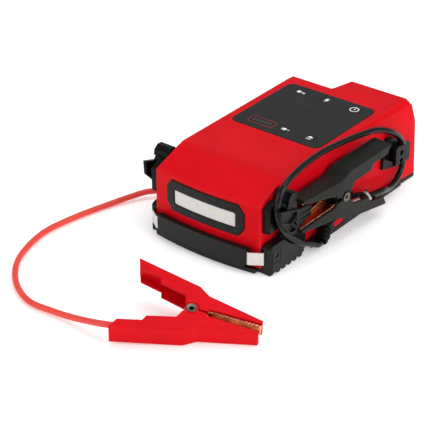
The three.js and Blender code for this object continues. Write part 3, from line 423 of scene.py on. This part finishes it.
def casing():
    rounded("upper_housing", 1.1 * MM, 3)
    rounded("base_tray", 0.6 * MM)
    rounded("light_bezel", 0.8 * MM)
    rounded("light_lens", 0.4 * MM)
    rounded("control_panel", 0.3 * MM)
    rounded("display_window", 0.3 * MM)
    for key in ("power_button", "jump_button", "light_button"):
        rounded(key, 0.2 * MM)
    for corner in ("front_left", "front_right", "rear_left", "rear_right"):
        rounded(f"foot_{corner}", 0.4 * MM)
    for word, _ in SIDES:
        rounded(f"side_block_{word}", 0.6 * MM)
        rounded(f"front_cleat_{word}", 0.5 * MM, material=cleat_black)
        rounded(f"rear_cleat_{word}", 0.5 * MM, material=cleat_black)
    rounded("handle_grip", 1.2 * MM, 3)
    rounded("handle_strap", 0.3 * MM)


def lamp_leds():
    """A row of small lamp domes, standing a little out of the lens's bowed front."""
    count, pitch, height = 9, 7.6 * MM, 54.5 * MM
    odd_one = 3
    radius, behind_front = 0.95 * MM, 0.35 * MM
    bow_depth, bow_reach = 5.7 * MM, 64 * MM
    front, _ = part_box("light_lens")
    domes = (
        ("lamp_leds", led_yellow, [i for i in range(count) if i != odd_one]),
        ("lamp_led_orange", led_orange, [odd_one]),
    )
    for name, material, places in domes:
        bm = bmesh.new()
        for i in places:
            x = pitch * (i - (count - 1) / 2)
            y = front[1] + bow_depth * (x / bow_reach) ** 2 + behind_front
            place = Matrix.Translation((x, y, height))
            bmesh.ops.create_uvsphere(bm, u_segments=16, v_segments=10, radius=radius, matrix=place)
        obj = new_object(name, bm)
        smooth(obj)
        add_piece(obj, ROOT, "clear_lens", material=material)


def clamps():
    for colour in CLAMPS:
        for part in ("cable_lever", "free_lever"):
            rounded(f"{colour}_clamp_{part}", 0.9 * MM, 3)
        for part in ("cable_jaw", "free_jaw"):
            rounded(f"{colour}_clamp_{part}", 0.12 * MM, 1)
        rounded(f"{colour}_clamp_cable_strap", 0.2 * MM, 1)
        hinge = joints[f"{colour}_clamp_hinge"]
        pivot, along = Vector(hinge["pos_m"]), Vector(hinge["axis"])
        spring(colour, pivot, along)
        rivet(colour, pivot, along)


def spring(colour, pivot, along):
    """The clamp's torsion spring: a coil round the pivot whose two legs lie along the two levers."""
    node = f"{colour}_clamp_spring"
    wire_radius, half_coil = 0.95 * MM, 4 * MM
    wire = flowing(spring_line(node, pivot, along), 3)
    obj = tube(f"{colour}_spring", wire, wire_radius, 16)
    obj.data.materials.append(materials["bright_steel"])
    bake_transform(obj)
    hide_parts(node)


def spring_line(node, pivot, along):
    """Torsion spring's wire: a coil round the pivot that leaves along a straight leg at each end."""
    points = [Vector(v.co) - pivot for v in frame["nodes"][node].data.vertices]
    first = max((p for p in points if p.dot(along) < 0), key=lambda p: p.length)
    last = max((p for p in points if p.dot(along) > 0), key=lambda p: p.length)
    x_axis = (first - first.dot(along) * along).normalized()
    y_axis = along.cross(x_axis)
    radius, half, turns = 5 * MM, 4.8 * MM, 2
    flat_last = last - last.dot(along) * along
    reach = math.acos(radius / flat_last.length)  # how far round the coil a leg leaves it
    sweep_to = math.atan2(flat_last.dot(y_axis), flat_last.dot(x_axis)) % (2 * math.pi)
    start_angle, end_angle = reach, 2 * math.pi * turns + sweep_to - reach
    leg = first.length - 1 * MM  # the CAD wire's own end stands out by its radius
    line = [pivot + x_axis * leg - along * half]
    steps = 16 * turns
    for i in range(steps + 1):
        t = i / steps
        angle = start_angle + (end_angle - start_angle) * t
        offset = radius * (math.cos(angle) * x_axis + math.sin(angle) * y_axis)
        line.append(pivot + offset + along * half * (2 * t - 1))
    line.append(pivot + flat_last.normalized() * leg + along * half)
    return line


def rivet(colour, pivot, along):
    """Eyelet rivet: a hollow shank with a rolled rim and a dished middle at each end."""
    under, bore, shank, rim = 11.32 * MM, 2.05 * MM, 2.95 * MM, 5.05 * MM
    roll = 0.42 * MM
    rolled = [math.radians(a) for a in range(-80, 181, 26)]
    upper = [(shank, under)]
    upper += [(rim - roll + roll * math.cos(a), under + roll + roll * math.sin(a)) for a in rolled]
    upper += [(rim - 1.3 * MM, under + 0.25 * MM), (bore + 0.4 * MM, under + 0.1 * MM)]
    upper += [(bore, under - 0.5 * MM)]
    profile = upper + [(radius, -height) for radius, height in reversed(upper)]
    turn = along.to_track_quat("Z", "Y").to_matrix()
    bm = bmesh.new()
    segments = 40
    angles = [2 * math.pi * i / segments for i in range(segments)]
    rings = []
    for radius, height in profile:
        spokes = [turn @ Vector((radius * math.cos(a), radius * math.sin(a), 0)) for a in angles]
        rings.append([bm.verts.new(pivot + height * along + spoke) for spoke in spokes])
    for low, high in zip(rings, rings[1:] + rings[:1]):
        for i in range(segments):
            j = (i + 1) % segments
            bm.faces.new((low[i], low[j], high[j], high[i]))
    bmesh.ops.recalc_face_normals(bm, faces=bm.faces)
    obj = new_object(f"{colour}_rivet", bm)
    smooth(obj)
    add_piece(obj, ROOT, "bright_steel", f"{colour}_clamp_rivet", material=rivet_steel)


def cables():
    for colour, side in (("black", 1), ("red", -1)):
        node = f"{colour}_cable"
        start = mirrored_point(CABLE_START, side)
        line = flowing(tube_centres(node, CABLE_RADIUS, start), 3)
        obj = tube(f"{colour}_cable_jacket", line, CABLE_RADIUS, 28)
        add_piece(obj, ROOT, f"{colour}_cable_jacket", node)
    for word, side in SIDES:
        boot(word, side)


def mirrored_point(point, side):
    return Vector((point[0] * side, point[1], point[2])) * MM


def boot(word, side):
    """Ribbed rubber boot that bends the cable forward, hollow where the cable runs."""
    line = flowing([mirrored_point(point, side) for point in BOOT_LINE], 14)
    last = len(line) - 1
    ribs, groove_depth, wide, narrow = 7, 1.5 * MM, 7.4 * MM, 5.8 * MM
    mouth, bore = 4.6 * MM, 3.7 * MM
    stations = []
    for i in range(last + 1):
        t = i / last
        groove = groove_depth * (1 - abs(math.sin(math.pi * (ribs * t + 0.1)))) ** 1.5
        stations.append((i, wide + (narrow - wide) * t - groove))
    stations += [(last, narrow - 0.8 * MM), (last, mouth)]
    stations += [(i, bore) for i in range(last - 4, last // 2 - 5, -2)]
    add_piece(sweep(f"boot_{word}", line, stations, 36), ROOT, "soft_rubber", f"strain_relief_{word}")


# ---------------------------------------------------------------- carried-over CAD nodes

def paint_cad_nodes():
    """Gives every CAD node still shown its material."""
    for node, obj in frame["nodes"].items():
        obj.data.materials.clear()
        material = dark_steel if node.startswith("side_block_screw") else materials[slot_of[node]]
        obj.data.materials.append(material)


# ---------------------------------------------------------------- printed marks
# Outlines are in millimetres, in plan, on the panel or on a key's top.

def arc(x, y, radius, start=0, end=360, count=28):
    """Points round a circle, counter-clockwise. A whole circle leaves out its last point."""
    whole = end - start == 360
    angles = [math.radians(start + (end - start) * i / count) for i in range(count + (not whole))]
    return [(x + radius * math.cos(a), y + radius * math.sin(a)) for a in angles]


def bar(x, y, width, depth):
    w, d = width / 2, depth / 2
    return [(x - w, y - d), (x + w, y - d), (x + w, y + d), (x - w, y + d)]


def round_bar(x, y, width, depth, radius):
    """A rectangle with round corners."""
    w, d = width / 2 - radius, depth / 2 - radius
    corners = ((w, d, 0), (-w, d, 90), (-w, -d, 180), (w, -d, 270))
    return [point for dx, dy, a in corners for point in arc(x + dx, y + dy, radius, a, a + 90, 6)]


def raised(bm, lines, closed=True, thickness=0.12):
    """A thin print standing on the panel: one outline filled in, or the band between two."""
    levels = (PANEL_TOP - 0.02, PANEL_TOP + thickness)
    verts = [[[bm.verts.new((x * MM, y * MM, z * MM)) for x, y in line] for z in levels] for line in lines]
    count = len(lines[0])
    spans = [(i, (i + 1) % count) for i in range(count if closed else count - 1)]
    for low, high in verts:
        for i, j in spans:
            bm.faces.new((low[i], low[j], high[j], high[i]))
    if len(lines) == 1:
        bm.faces.new(verts[0][0][::-1])
        bm.faces.new(verts[0][1])
        return
    outer, inner = verts
    for level in (0, 1):
        for i, j in spans:
            bm.faces.new((outer[level][i], outer[level][j], inner[level][j], inner[level][i]))
    if not closed:
        for i in (0, count - 1):
            bm.faces.new((outer[0][i], outer[1][i], inner[1][i], inner[0][i]))


def mark(name, body, slot, material, *prints):
    """One printed mark made of several shapes, riding on its body."""
    bm = bmesh.new()
    for lines, closed in prints:
        raised(bm, lines, closed)
    bmesh.ops.recalc_face_normals(bm, faces=bm.faces)
    add_piece(new_object(name, bm), body, slot, material=material)


def filled(outline):
    return [outline], True


def printed_marks():
    top_row, bottom_row, right_column = 77, -2, 35
    key_parts = (
        filled(arc(-35.4, top_row, 2.4)),
        filled(bar(-30.6, top_row, 6, 0.9)),
        filled(bar(-30.2, top_row - 1.2, 0.9, 1.6)),
        filled(bar(-28.2, top_row - 1.4, 0.9, 2)),
    )
    plug_parts = (
        filled(round_bar(3.4, bottom_row, 3.6, 4.4, 0.9)),
        filled(bar(7.4, bottom_row, 4.6, 0.8)),
        filled(bar(0.8, bottom_row + 1.1, 2, 0.8)),
        filled(bar(0.8, bottom_row - 1.1, 2, 0.8)),
    )
    mark("panel_marks", ROOT, "white_plastic", print_white, *key_parts, *plug_parts)
    bolt = [(-1.8, 80.6), (1.3, 81.4), (0.1, 78.1), (2.4, 78.1), (-1.5, 72.4), (-0.4, 76.3), (-2.5, 76.3)]
    mark("jump_mark", "jump_key", "white_plastic", print_white, filled(bolt))
    power_ring = [arc(right_column, top_row, 5.2), arc(right_column, top_row, 4.1)], True
    power_bar = filled(bar(right_column, top_row + 1.2, 1, 3.6))
    mark("power_mark", "power_key", "white_plastic", print_white, power_ring, power_bar)
    dome = arc(right_column, -1.8, 2.9, 0, 180, 12)
    rays = [filled(bar(right_column + dx, -4.4, 0.7, 3)) for dx in (-2, 0, 2)]
    mark("light_mark", "light_key", "white_plastic", print_white, filled(dome), *rays)
    window_x, window_y = -24.5, -2.3
    outer_line = round_bar(window_x, window_y, 31, 13, 3.6)
    inner_line = round_bar(window_x, window_y, 29.6, 11.6, 2.9)
    mark("window_frame_mark", ROOT, "red_casing", print_red, ([outer_line, inner_line], True))
    cells = [filled(bar(window_x + 4.8 * i, window_y, 4, 5.4)) for i in range(-2, 3)]
    mark("gauge_marks", ROOT, "panel_plastic", print_grey, *cells)
    # Painted shade: a thin dark strip stands in for the shade along a faint line pressed into the panel.
    groove_shade_line = [(-30, 56.4), (-30, 55.8), (38, 50.8), (38, 51.4)]
    mark("panel_groove_shade_mark", ROOT, "panel_plastic", print_grey, filled(groove_shade_line))


# ---------------------------------------------------------------- stage, light and camera

def floor_and_light():
    """A pale floor, a white sky and three large soft lamps."""
    bm = bmesh.new()
    bmesh.ops.create_grid(bm, x_segments=2, y_segments=2, size=12)
    floor = new_object("floor", bm)
    floor.location.z = -0.5 * MM  # just under the feet
    n = Nodes("floor")
    tone = n.mix(n.noise(0.4), (0.93, 0.93, 0.93), (0.96, 0.96, 0.96))
    shader = n.add("BsdfPrincipled", {"Base Color": tone, "Roughness": 0.85, "Specular IOR Level": 0.1,
                                      "Emission Color": (1, 1, 1, 1), "Emission Strength": 0.28})
    floor.data.materials.append(n.finish(shader.outputs[0]))
    world = bpy.data.worlds.new("studio")
    bpy.context.scene.world = world
    world.use_nodes = True
    world.node_tree.nodes["Background"].inputs[0].default_value = (1, 1, 1, 1)
    world.node_tree.nodes["Background"].inputs[1].default_value = 0.5
    target = Vector((0, -0.05, 0.04))
    lamps = (
        ("top", (0.1, 0.2, 1.5), 1.3, 9),
        ("right", (1.4, -0.1, 0.7), 1.0, 12),
        ("front", (-0.5, -1.4, 0.7), 1.0, 6),
    )
    for name, place, size, power in lamps:
        data = bpy.data.lights.new(name, "AREA")
        data.size = size
        data.energy = power
        light = bpy.data.objects.new(name, data)
        light.location = place
        light.rotation_euler = (target - Vector(place)).to_track_quat("-Z", "Y").to_euler()
        bpy.context.scene.collection.objects.link(light)
    bpy.context.scene.view_settings.view_transform = "Standard"


def camera():
    """Looks down on the pack's front right corner, with the object a little left of the middle."""
    azimuth, elevation, roll = (math.radians(a) for a in (38.85, 30.08, -0.68))
    distance, across, up = 1.791, -0.0947, -0.0242
    focus = Vector((0, 0.036, 0))
    back = Vector((math.sin(azimuth) * math.cos(elevation), -math.cos(azimuth) * math.cos(elevation),
                   math.sin(elevation)))
    flat_right = Vector((math.cos(azimuth), math.sin(azimuth), 0))
    flat_up = back.cross(flat_right)
    right = math.cos(roll) * flat_right + math.sin(roll) * flat_up
    above = -math.sin(roll) * flat_right + math.cos(roll) * flat_up
    place = focus + right * across + above * up + back * distance
    data = bpy.data.cameras.new("camera")
    data.sensor_width = 36
    data.lens = 143.8
    obj = bpy.data.objects.new("camera", data)
    obj.matrix_world = Matrix.Translation(place) @ Matrix((right, above, back)).transposed().to_4x4()
    bpy.context.scene.collection.objects.link(obj)
    bpy.context.scene.camera = obj


paint_cad_nodes()
casing()
lamp_leds()
clamps()
cables()
printed_marks()
floor_and_light()
camera()
